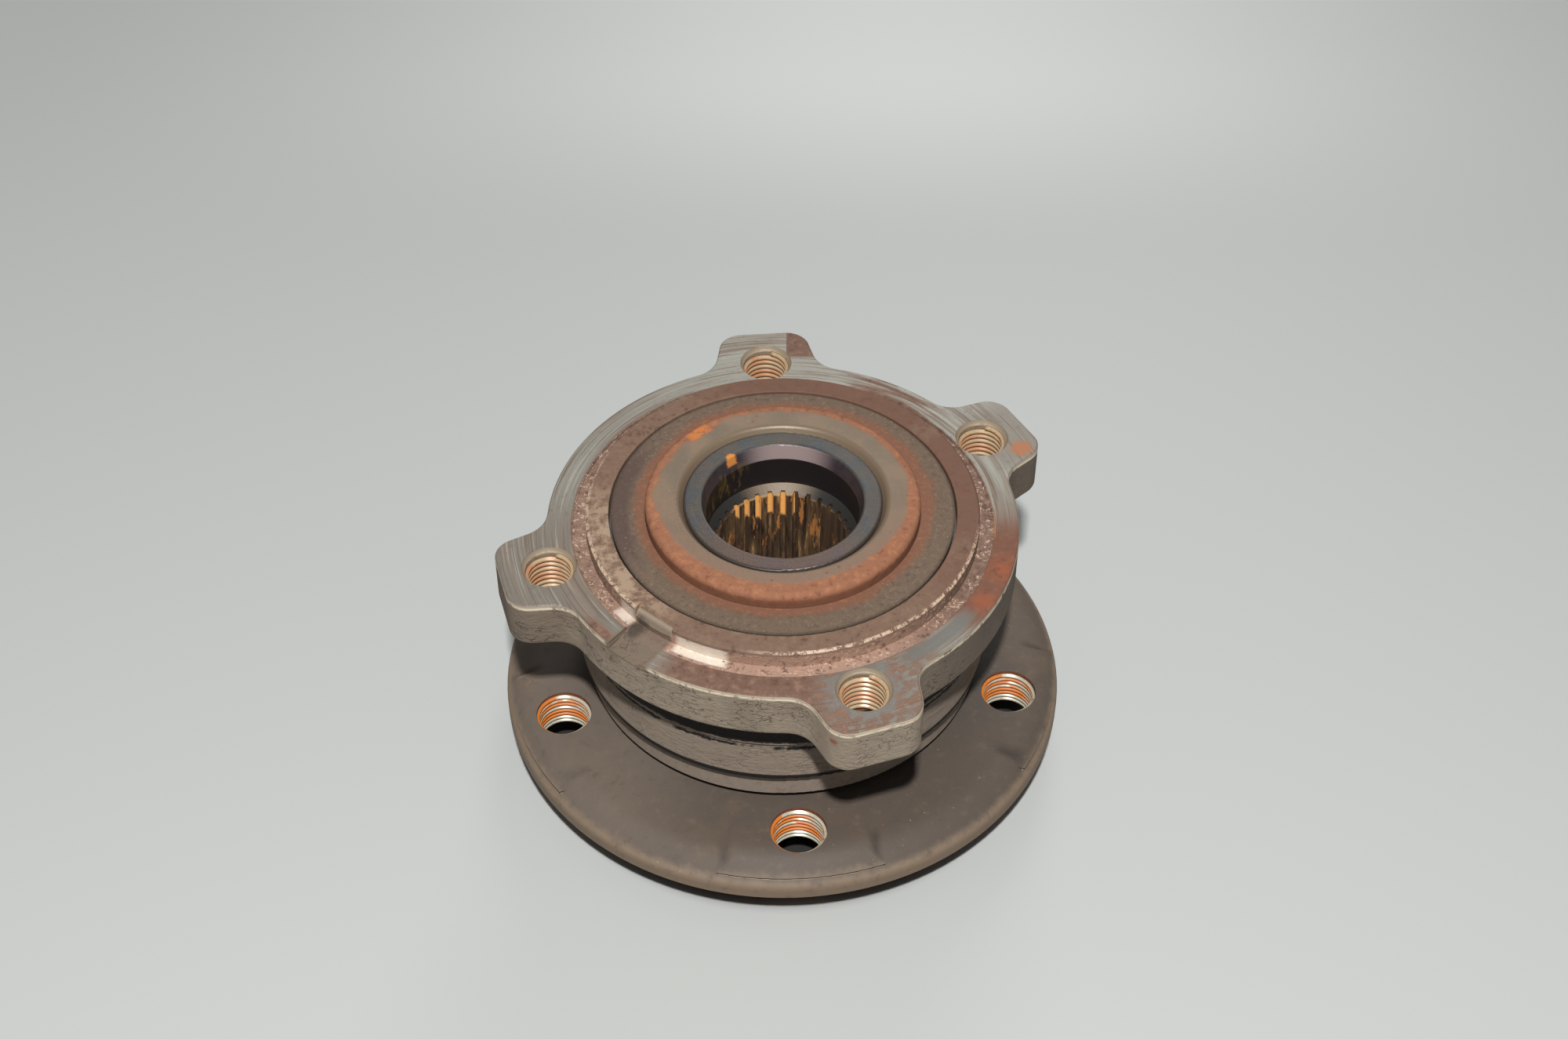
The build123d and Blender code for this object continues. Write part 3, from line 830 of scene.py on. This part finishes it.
@dataclass
class OuterRing(Part):
    """The fixed ring with its knuckle flange, four threaded lugs, pilot and sensor notch."""

    body: str = "fixed_ring"
    lug_angles: tuple[float, ...] = (94.5, 30.5, 196.5, 288.8)
    lug_circle: float = 59.2
    lug_hole: float = 6.0
    face: float = 58.9
    pilot: float = 48.7
    pilot_top: float = 62.9
    relief_edge: float = 52.0
    notch_angle: float = 231.0
    thread_crest: float = 5.2
    thread_pitch: float = 1.5
    thread_bottom: float = 45.6

    def finish(self) -> Material:
        """Make the ring's finish.

        Returns:
            The material.
        """
        coat = Coat("outer_ring_steel", Look((166, 149, 130), 0.85))
        coat.cloud = coat.noise(16, 5, 0.6, shift=12)
        coat.mottle = coat.noise(2.2, 6, 0.7, shift=77)
        self.side_walls(coat)
        self.flange_face(coat)
        self.relief_groove(coat)
        self.pilot_ring(coat)
        self.holes(coat)
        coat.relief(coat.noise(0.6, 5, 0.7), 0.10, 0.8)
        return coat.done()

    def side_walls(self, coat: Coat) -> None:
        """Lay dried dirt on the forged walls, cracked on the flange, peeling on the body, with
        painted shade on the walls that face left and right and painted light on lug D's front wall.

        Args:
            coat: The finish under way.
        """
        coat.stain((182, 165, 144), coat.clouds(0.42, 0.62))
        coat.stain((140, 122, 104), coat.fleck(0.46, 0.3), 0.4)
        coat.stain((204, 188, 164), coat.fleck(0.55, 0.75), 0.45)
        # Painted shade: lug B's walls, which face away from the key lamp, are darker.
        coat.stain((124, 106, 92), coat.facing(202, 22, 14), coat.reach(58, 62), 0.6)
        wall = coat.height(self.face - 0.7, self.face - 1.6)
        crazed = coat.both(
            coat.cracks(2.6, 0.075, 11, (0.6, 0.6, 2)), wall,
            coat.rise(coat.noise(9, 3, 0.5, shift=21), 0.44, 0.54),
            coat.rise(coat.noise(1.8, 2, 0.5, shift=4), 0.4, 0.52))
        coat.stain((84, 70, 58), crazed, 0.6)
        coat.relief(coat.both(coat.noise(1.5, 6, 0.78, (0.7, 0.7, 1.5), 14), wall), 0.6, 0.9)
        coat.relief(coat.without(crazed), 0.25, 0.8)
        # Painted shade: the walls and body on the right, which face away from the key lamp, are
        # darker.
        coat.stain(
            (104, 91, 80), coat.facing(8, 62, 12), coat.height(self.face, self.face - 0.6), 0.75)
        # Painted light: lug D's front wall, which faces the key lamp, is paler.
        coat.stain((196, 178, 156), coat.facing(288, 14, 8), coat.reach(58, 62), 0.5)
        coat.lay(
            Look((238, 222, 194), 0.5), coat.band(coat.z, self.face - 1.5, self.face - 0.5, 0.35),
            coat.rise(coat.noise(2.4, 4, 0.7, shift=19), 0.38, 0.5), coat.reach(58, 58.3), 0.9)
        coat.stain((160, 90, 50), coat.spot_at(11.7, -68.6, 1, 0.6, coat.mottle),
                   coat.band(coat.z, 54.2, 55.6, 0.5), 0.9)
        self.body_crust(coat)

    def body_crust(self, coat: Coat) -> None:
        """Lay the body below the flange, a near-black painted shadow under the flange, the ragged
        edge of its peeled crust, and painted shade at the body's foot.

        Args:
            coat: The finish under way.
        """
        under = coat.height(46, 44.5)
        coat.stain((170, 152, 136), under, 0.8)
        lines = coat.noise(1.2, 4, 0.7, (0.12, 0.12, 1.6), 44)
        coat.stain((188, 170, 148), under, coat.rise(lines, 0.52, 0.68), 0.4)
        coat.stain((122, 105, 92), under, coat.rise(lines, 0.46, 0.34), 0.5)
        jagged = coat.shifted(coat.z, coat.noise(2.6, 6, 0.8, shift=3), 3)
        # Painted shadow: the body is near black under the flange's overhang, down to a ragged edge.
        coat.lay(Look((24, 19, 16), 0.9), coat.rise(jagged, 36.9, 37.3), under, 0.97)
        peel = coat.both(coat.band(jagged, 34, 34.95, 0.12), coat.reach(51.5, 52),
                         coat.rise(coat.noise(10, 3, 0.6, shift=58), 0.36, 0.44))
        coat.stain((20, 16, 13), peel)
        coat.relief(coat.without(peel), 0.4, 0.9)
        coat.stain((196, 178, 154), coat.band(jagged, 35.1, 35.6, 0.18), coat.clouds(0.36, 0.46),
                   under, 0.6)
        # Painted shade: the ring's foot is near black where it overhangs the gap to the slinger.
        coat.lay(Look((20, 16, 14), 0.9), coat.height(23.1, 22.7))

    def flange_face(self, coat: Coat) -> None:
        """Lay the machined face: bare steel with turning scratches, rust and dirt.

        Args:
            coat: The finish under way.
        """
        face = coat.both(coat.height(self.face - 0.35, self.face - 0.1), coat.reach(51.9, 52.1))
        scratch = coat.turned(0.5, 30, 9, 4)
        broad = coat.turned(2.2, 42, 4, 4)
        coat.lay(Look((150, 145, 134), 0.44, 0.15), face)
        coat.lay(Look((166, 162, 151), 0.42, 0.2), face, coat.facing(64, 52, 24))
        coat.stain((130, 121, 110), face, coat.facing(202, 22, 14), 0.8)
        coat.lay(Look((140, 122, 106), 0.6, 0.05), face, coat.rise(broad, 0.5, 0.62), 0.6)
        coat.lay(Look((116, 92, 76), 0.7), face, coat.rise(scratch, 0.55, 0.64), 0.7)
        coat.stain((190, 186, 174), face, coat.rise(scratch, 0.44, 0.34), 0.5)
        coat.stain((112, 94, 80), face, coat.fleck(0.54, 0.7), 0.35)
        coat.relief(coat.both(face, scratch), 0.06, 0.8)
        coat.lay(Look((132, 98, 80), 0.75), face,
                 coat.rise(coat.shifted(coat.radius, coat.mottle, 3), 54.6, 53.2), 0.7)
        coat.stain((124, 108, 94), face, coat.facing(28, 9, 4), coat.reach(56, 60), 0.45)
        rust = self.rust_patches(coat)
        coat.lay(Look((120, 87, 70), 0.75), face, rust, 0.92)
        coat.stain((152, 118, 98), face, rust, coat.fleck(0.5, 0.64), 0.8)
        coat.stain((92, 62, 50), face, rust, coat.fleck(0.46, 0.34), 0.7)
        coat.stain((126, 78, 58), face, coat.facing(342, 18, 8), 0.6)
        hot = coat.either(
            coat.spot_at(53.5, -17, 4, 3, coat.mottle),
            coat.spot_at(48.5, -28, 3, 2.5, coat.mottle))
        coat.stain((158, 88, 56), face, hot, coat.fleck(0.36, 0.54), 0.9)
        coat.lay(
            Look((186, 122, 84), 0.8), face, coat.spot_at(60.8, 26, 2.6, 0.8, coat.mottle), 0.85)
        coat.stain((196, 132, 74), face, coat.band(coat.radius, 51.4, 53, 0.3),
                   coat.facing(8, 14, 4), coat.rise(scratch, 0.46, 0.54), 0.9)
        coat.lay(Look((132, 130, 124), 0.45, 0.2), face,
                 coat.spot(288.8, self.lug_circle, 8.6, 1.4, coat.mottle), 0.7)
        coat.lay(Look((124, 122, 116), 0.5, 0.25), face, coat.facing(313, 11, 3),
                 coat.band(coat.radius, 53, 56.5, 0.5), 0.85)

    def rust_patches(self, coat: Coat) -> Socket:
        """Give the mask of the flange face's rusty parts.

        Args:
            coat: The finish under way.

        Returns:
            A mask, 1 where the face is rusty.
        """
        return coat.either(
            coat.both(coat.rise(coat.x, 0.6, 0.9), coat.rise(coat.y, 60.5, 62),
                      coat.rise(coat.x, 12, 10)),
            coat.both(coat.facing(58, 13, 6), coat.rise(coat.turned(1.8, 20, 11, 4), 0.44, 0.62)),
            coat.both(coat.facing(340, 17, 5), coat.clouds(0.26, 0.4)),
            coat.facing(260, 20, 5),
            coat.both(coat.facing(284, 10, 6), coat.fleck(0.3, 0.6)),
            coat.both(coat.facing(300, 8, 5), coat.fleck(0.3, 0.62)),
            coat.both(coat.facing(225, 8, 3), coat.reach(55, 57)))

    def relief_groove(self, coat: Coat) -> None:
        """Lay rust with copper flakes in the pilot's groove, with painted highlights beside the
        notch.

        Args:
            coat: The finish under way.
        """
        groove = coat.both(
            coat.band(coat.radius, self.pilot - 0.1, self.relief_edge + 0.3, 0.15),
            coat.height(self.face - 1.2, self.face - 0.8),
            coat.height(self.face + 3.4, self.face + 3))
        coat.lay(Look((132, 104, 89), 0.65), groove)
        coat.stain((190, 154, 134), groove, coat.facing(262, 44, 20), 0.9)
        coat.stain((152, 122, 104), groove, coat.facing(190, 24, 14), 0.8)
        coat.stain((176, 142, 122), groove, coat.fleck(0.5, 0.66), 0.6)
        coat.stain((98, 68, 56), groove, coat.fleck(0.48, 0.36), 0.8)
        grain = coat.noise(1, 4, 0.85, shift=51)
        coat.lay(Look((232, 198, 174), 0.4), groove, coat.rise(grain, 0.55, 0.6),
                 coat.either(coat.rise(coat.noise(6, 2, 0.5, shift=52), 0.4, 0.52),
                             coat.facing(190, 50, 12)), 0.85)
        # Painted highlight: near-white marks on the pilot's wall and groove beside the notch's
        # edges.
        sides = coat.either(coat.facing(247, 7.5, 1.2), coat.both(coat.facing(221, 2.5, 1.5), 0.7))
        notch_highlight = coat.both(
            groove, sides, coat.band(coat.radius, self.pilot - 0.2, self.pilot + 2.4, 0.3),
            coat.height(self.face + 3, self.face + 2.6), coat.fleck(0.3, 0.4))
        coat.lay(Look((244, 236, 222), 0.35), notch_highlight, 0.95)
        coat.stain((226, 198, 172), notch_highlight, coat.fleck(0.6, 0.5), 0.4)
        coat.relief(
            coat.both(groove, coat.without(notch_highlight), coat.noise(1.3, 5, 0.75, shift=55)), 0.5, 0.9)

    def pilot_ring(self, coat: Coat) -> None:
        """Lay the pilot's top: brown at the back, cream at the left, bright on its edge.

        Args:
            coat: The finish under way.
        """
        pilot = coat.both(
            coat.height(self.face + 2.6, self.face + 3.2), coat.reach(49.6, 49.2),
            coat.reach(41.5, 42))
        coat.lay(Look((128, 100, 82), 0.7), pilot)
        coat.stain((140, 114, 94), pilot, coat.fleck(0.5, 0.64), 0.7)
        coat.stain((94, 70, 56), pilot, coat.fleck(0.46, 0.34), 0.8)
        coat.stain((116, 80, 64), pilot, coat.facing(40, 75, 14), coat.clouds(0.3, 0.46), 0.75)
        coat.lay(Look((176, 150, 126), 0.6), pilot, coat.facing(203, 26, 12),
                 coat.rise(coat.noise(3.2, 5, 0.7, shift=63), 0.42, 0.58), 0.9)
        edge = coat.both(coat.reach(self.pilot - 0.9, self.pilot - 0.3), pilot,
                         coat.height(self.pilot_top - 0.9, self.pilot_top - 0.3))
        coat.lay(Look((232, 202, 176), 0.4), edge,
                 coat.either(coat.facing(308, 40, 12), coat.facing(192, 34, 10)),
                 coat.rise(coat.noise(1.6, 5, 0.8, shift=33), 0.46, 0.52), 0.9)
        notch = coat.both(
            coat.facing(self.notch_angle, 6.4, 0.7), coat.height(56.5, 56.7), coat.reach(45.4, 46),
            coat.height(61.5, 60.5))
        coat.lay(Look((122, 105, 90), 0.7), notch, 0.85)
        coat.stain((70, 60, 50), coat.spot(226.5, 50.5, 2.2, 1.2, coat.mottle), notch, 0.8)

    def holes(self, coat: Coat) -> None:
        """Lay pale gold on the lug holes' mouths and copper rust on their walls.

        Args:
            coat: The finish under way.
        """
        walls = coat.spots(self.lug_angles, self.lug_circle, self.lug_hole + 0.05, 0.04)
        mouths = coat.spots(self.lug_angles, self.lug_circle, self.lug_hole + 0.86, 0.05)
        side = coat.without(coat.upward())
        pale = coat.both(mouths, side, coat.height(self.face - 2.6, self.face - 2.2))
        coat.lay(Look((150, 92, 56), 0.7), walls, side)
        coat.lay(Look((166, 149, 126), 0.45, 0.12), pale, coat.height(self.face, self.face - 0.25))

    def build(self) -> None:
        """Dress the ring and cut the threads into its lugs."""
        self.dress(self.finish(), "outer_ring")
        thread = Thread(
            self.body, "outer_ring", self.lug_hole - 0.01, self.thread_crest, self.thread_pitch)
        material = thread.finish(
            "lug_thread", Look((200, 150, 112), 0.34, 0.1), Look((204, 178, 142), 0.26, 0.15), 0.47)
        for number, angle in enumerate(self.lug_angles, start=1):
            thread.cut(f"lug_thread_{number}", material, angle, self.lug_circle, self.thread_bottom,
                       self.face - 1.1)


@dataclass
class Bearing(Part):
    """What turns and seals between the hub and the outer ring."""

    body: str = "hub"
    ring_top: float = 66.6
    bare_radius: float = 31.4
    ring_mouth: float = 25.9

    def inner_ring(self) -> Material:
        """Make the inner ring's finish: a dull ground face inside a band of orange rust, a faint
        painted highlight at the back of its mouth, and painted shade in the gap to the head.

        Returns:
            The material.
        """
        coat = Coat("inner_ring_steel", Look((150, 128, 106), 0.5, 0.3))
        coat.mottle = coat.noise(1.8, 5, 0.65, shift=8)
        coat.cloud = coat.noise(12, 3, 0.5, shift=18)
        coat.stain((128, 116, 100), coat.clouds(0.42, 0.62), 0.7)
        coat.stain((164, 140, 116), coat.fleck(0.52, 0.7), 0.35)
        coat.relief(coat.turned(0.4, 40), 0.02, 0.6)
        wander = coat.shifted(coat.radius, coat.cloud, 4, 0.5)
        wander = coat.shifted(wander, coat.facing(272, 60, 50), 2)
        wander = coat.shifted(wander, coat.mottle, 1.2)
        rust = coat.either(
            coat.rise(wander, self.bare_radius, self.bare_radius + 1.4),
            coat.both(coat.band(coat.radius, 30, 34, 0.5), coat.facing(132.5, 7, 3)))
        coat.lay(Look((158, 106, 78), 0.85), rust)
        coat.stain((176, 118, 84), rust, coat.fleck(0.5, 0.66))
        coat.stain((136, 84, 60), rust, coat.fleck(0.46, 0.32))
        coat.stain((110, 70, 52), coat.height(self.ring_top - 0.8, self.ring_top - 2.6), 0.65)
        coat.lay(
            Look((212, 126, 62), 0.9), coat.band(coat.radius, 30, 33.2, 0.5),
            coat.facing(132.5, 5, 2.5), coat.rise(coat.noise(2.2, 4, 0.7, shift=6), 0.4, 0.5), 0.9)
        coat.stain((152, 122, 102), coat.facing(275, 74, 34), coat.without(rust), 0.75)
        coat.stain((150, 92, 68), coat.grains(3.4, 0.17, 14),
                   coat.rise(coat.noise(6, 2, 0.5, shift=2), 0.5, 0.58), coat.without(rust), 0.8)
        mouth = coat.reach(self.ring_mouth + 1.3, self.ring_mouth + 0.3)
        coat.lay(Look((130, 110, 90), 0.42, 0.1), mouth)
        # Painted highlight: the back of the mouth, which faces the key lamp, is a little paler.
        coat.lay(Look((134, 116, 94), 0.38, 0.14), mouth, coat.facing(100, 42, 24))
        # Painted shade: the mouth's wall is dark deep in the gap to the head.
        coat.stain((44, 35, 31), coat.reach(self.ring_mouth + 0.5, self.ring_mouth + 0.2),
                   coat.height(64.3, 63.6))
        coat.relief(coat.noise(0.5, 5, 0.7), 0.06, 0.8)
        return coat.done()

    def encoder(self) -> Material:
        """Make the encoder's finish: dark rubber under dust, rusty near the inner ring.

        Returns:
            The material.
        """
        coat = Coat("encoder_rubber", Look((116, 97, 81), 0.9))
        coat.mottle = coat.noise(1.4, 6, 0.75, shift=28)
        coat.cloud = coat.noise(10, 4, 0.6, shift=38)
        coat.stain((136, 118, 98), coat.fleck(0.52, 0.66), 0.7)
        coat.stain((82, 70, 60), coat.fleck(0.46, 0.34), 0.7)
        wander = coat.shifted(coat.radius, coat.cloud, 5, 0.5)
        wander = coat.shifted(wander, coat.facing(75, 60, 40), -2.2)
        rust = coat.rise(wander, 37.8, 35.4)
        coat.lay(Look((136, 92, 70), 0.9), rust, 0.85)
        coat.stain((160, 106, 76), rust, coat.fleck(0.5, 0.66), 0.8)
        coat.stain((84, 66, 62), coat.facing(178, 26, 12), coat.reach(36.5, 39.5), 0.7)
        coat.stain((70, 58, 48), coat.reach(41.6, 42.5), 0.6)
        coat.stain((170, 152, 126), coat.grains(1.1, 0.16, 4), coat.clouds(0.42, 0.55), 0.7)
        coat.relief(coat.noise(0.45, 5, 0.8), 0.12, 0.9)
        return coat.done()

    def slinger(self) -> Material:
        """Make the slinger's finish: thin steel under an even film of road dust, with painted shade
        on its top in the gap under the ring.

        Returns:
            The material.
        """
        coat = Coat("slinger_steel", Look((158, 142, 128), 0.8))
        coat.mottle = coat.noise(2, 6, 0.7, shift=66)
        coat.stain((176, 160, 142), coat.fleck(0.5, 0.68), 0.5)
        coat.stain((126, 110, 98), coat.fleck(0.46, 0.34), 0.5)
        # Painted shade: the slinger is near black inward of its wall, in the gap under the ring.
        coat.lay(Look((34, 29, 26), 0.8), coat.reach(50.15, 49.95))
        coat.relief(coat.noise(0.5, 5, 0.7), 0.06, 0.8)
        return coat.done()

    def plain(self, name: str, look: Look, other: Look, size: float) -> Material:
        """Make a simple two-tone finish for the pieces inside.

        Args:
            name: The material's name.
            look: The main look.
            other: What shows through in patches.
            size: Size of the patches, in millimetres.

        Returns:
            The material.
        """
        coat = Coat(name, look)
        coat.lay(other, coat.rise(coat.noise(size, 4, 0.6), 0.5, 0.66))
        coat.relief(coat.noise(size / 4, 4, 0.6), 0.02, 0.6)
        return coat.done()

    def build(self) -> None:
        """Dress the rings, seals, cages and balls."""
        self.dress(self.inner_ring(), "inner_ring")
        self.dress(self.encoder(), "encoder_ring")
        self.dress(self.slinger(), "outboard_slinger")
        sheet = self.plain(
            "seal_sheet", Look((150, 148, 142), 0.4, 0.7), Look((118, 104, 90), 0.6, 0.3), 4)
        self.dress(sheet, "inboard_flinger", "inboard_seal_case", "outboard_seal_case")
        rubber = self.plain("seal_rubber", Look((40, 39, 38), 0.7), Look((62, 56, 50), 0.8), 2)
        self.dress(rubber, "inboard_seal_lip", "outboard_seal_lip")
        nylon = self.plain(
            "cage_nylon", Look((214, 200, 160), 0.45), Look((176, 150, 100), 0.35), 5)
        self.dress(nylon, "inboard_cage", "outboard_cage")
        steel = self.plain(
            "ball_steel", Look((222, 222, 224), 0.08, 1), Look((196, 186, 160), 0.2, 0.9), 3)
        self.dress(steel, *[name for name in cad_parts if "_ball_" in name])


@dataclass
class Studio:
    """The pale floor, the soft lights and the camera."""

    floor_size: float = 6.0
    key_elevation: float = 60.0
    key_distance: float = 1.2
    light_target: Vector = field(default_factory=lambda: Vector((0.0, 0.0, 0.03)))
    camera_place: Vector3 = (0.3 * MM, -434.1 * MM, 487.4 * MM)
    elevation: float = 44.64
    roll: float = 0.215
    lens: float = 56.47
    sensor: float = 36.0
    key_size: float = 0.05
    key_power: float = 13.4
    window_place: Vector3 = (0.25, 1.55, 1.0)
    window_size: float = 0.6
    window_power: float = 4.5
    sky: Tone = (228, 232, 232)
    sky_strength: float = 0.15
    # Radii in millimetres where the painted shadow under the disc is full and where it ends.
    floor_shadow_radius: tuple[float, float] = (62.0, 70.0)

    def floor(self) -> None:
        """Lay a pale floor under the part, with little bounce light, so shadows stay deep; it
        carries a painted shadow under the disc and a painted pool of light far behind.
        """
        mesh = bmesh.new()
        bmesh.ops.create_grid(mesh, x_segments=1, y_segments=1, size=self.floor_size / 2)
        bmesh.ops.translate(mesh, vec=(0, 0, cad_box[0][2]), verts=mesh.verts)
        data = meshed("floor", mesh)
        coat = Coat("floor_paint", Look((104, 105, 104), 0.5))
        path = coat.node("LightPath").outputs
        seen = coat.either(
            path["Is Camera Ray"], path["Is Glossy Ray"], path["Is Transmission Ray"])
        coat.stain((204, 206, 203), seen)
        # Painted pool of light: a paler patch on the floor far behind the part, seen by camera and
        # glossy rays.
        coat.stain(
            (240, 242, 239), coat.rise(coat.y, 190, 300), coat.band(coat.x, -80, 150, 190), seen)
        dim, lit = self.floor_shadow_radius
        # Painted shadow: the floor is near black beneath the disc, fading out just inside its rim.
        coat.stain((16, 15, 15), coat.reach(lit, dim), 0.95)
        data.materials.append(coat.done())
        piece = hang("floor", data)

    def lamp(self, name: str, place: Vector3, size: float, power: float) -> None:
        """Hang a square soft light that faces the part.

        Args:
            name: The light's name.
            place: Where it hangs, in metres.
            size: Its width, in metres.
            power: Its power, in watts.
        """
        data = bpy.data.lights.new(name, "AREA")
        data.shape = "SQUARE"
        data.size = size
        data.energy = power
        lamp = hang(name, data)
        lamp.location = place
        lamp.rotation_euler = (Vector(place) - self.light_target).to_track_quat("Z", "Y").to_euler()

    def lights(self) -> None:
        """Hang the key light above the camera and a broad fill, and set the surroundings."""
        steep = math.radians(self.key_elevation)
        away, up = self.key_distance * math.cos(steep), self.key_distance * math.sin(steep)
        self.lamp("key", (0, -away, up), self.key_size, self.key_power)
        self.lamp("window", self.window_place, self.window_size, self.window_power)
        world = bpy.data.worlds.new("surroundings")
        bpy.context.scene.world = world
        world.use_nodes = True
        background = world.node_tree.nodes["Background"]
        fill(background, Color=srgb(*self.sky), Strength=self.sky_strength)

    def camera(self) -> None:
        """Set the camera up."""
        data = bpy.data.cameras.new("camera")
        data.lens = self.lens
        data.sensor_width = self.sensor
        data.clip_start = 0.01
        camera = hang("camera", data)
        tilt = Matrix.Rotation(math.radians(90 - self.elevation), 4, "X")
        camera.matrix_world = Matrix.Translation(self.camera_place) @ tilt @ Matrix.Rotation(
            math.radians(self.roll), 4, "Z")
        bpy.context.scene.camera = camera

    def build(self) -> None:
        """Set the stage."""
        self.floor()
        self.lights()
        self.camera()
        bpy.context.scene.view_settings.view_transform = "Standard"


def corners(box: tuple) -> list[list[float]]:
    """Give a box's two corners as plain lists."""
    return [[float(value) for value in corner] for corner in box]


def main() -> None:
    """Build every sub-assembly in order, then the stage."""
    logging.basicConfig(level=logging.INFO, format="%(name)s: %(message)s")
    Hub().build()
    OuterRing().build()
    Bearing().build()
    Studio().build()


if __name__ == "__main__":
    main()
